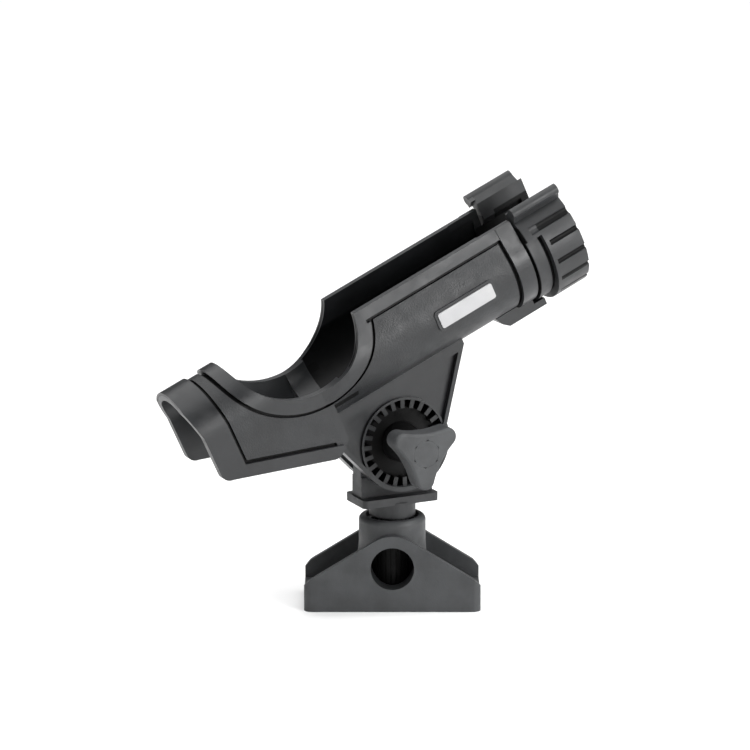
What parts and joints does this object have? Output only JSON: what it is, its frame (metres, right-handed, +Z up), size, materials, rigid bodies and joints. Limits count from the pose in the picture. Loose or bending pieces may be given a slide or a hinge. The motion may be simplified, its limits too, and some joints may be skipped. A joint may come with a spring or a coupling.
{
  "type": "fishing rod holder",
  "caption": "Boat rod holder: an open trough with a rear hood, reel opening and turning lock collar, on a ratchet tilt pivot and a swivel post in a screw-down mount.",
  "frame": {"origin": "middle of the mount's underside, under the swivel post", "axes": "+Z up along the swivel post; X along the mount's long side; the mount's pierced wall faces -Y; at rest the holder is swivelled 26 degrees about +Z and its nose is up 24.5 degrees"},
  "size_m": [0.2225, 0.1431, 0.2197],
  "materials": {
    "black_nylon": "satin moulded glass-filled nylon with grained panels",
    "knob_nylon": "matte moulded nylon, a little lighter",
    "steel": "stainless steel, satin",
    "badge_silver": "thin silver label, plain"
  },
  "bodies": {
    "base": {"mount_base": "black_nylon"},
    "bracket": {"swivel_bracket": "black_nylon"},
    "holder": {"holder_body": "black_nylon", "pivot_bolt": "steel", "bolt_washer": "steel", "knob_washer": "steel", "badge": "badge_silver"},
    "knob": {"clamp_knob": "knob_nylon", "knob_nut": "steel", "knob_cap": "knob_nylon"},
    "collar": {"lock_ring": "black_nylon"}
  },
  "joints": [
    {"name": "swivel", "type": "hinge", "parent": "base", "child": "bracket", "pos_m": [0, 0, 0.03], "axis": [0, 0, 1], "continuous": true},
    {"name": "tilt", "type": "hinge", "parent": "bracket", "child": "holder", "pos_m": [0, 0, 0.0887], "axis": [-0.4384, 0.8988, 0], "range_deg": [-30, 60]},
    {"name": "knob_turn", "type": "hinge", "parent": "holder", "child": "knob", "pos_m": [0.01447, -0.02966, 0.0887], "axis": [0.4384, -0.8988, 0], "range_deg": [0, 540]},
    {"name": "collar_turn", "type": "hinge", "parent": "holder", "child": "collar", "pos_m": [0.07285, 0.03553, 0.18575], "axis": [0.8179, 0.3989, 0.4147], "range_deg": [-90, 90]}
  ]
}
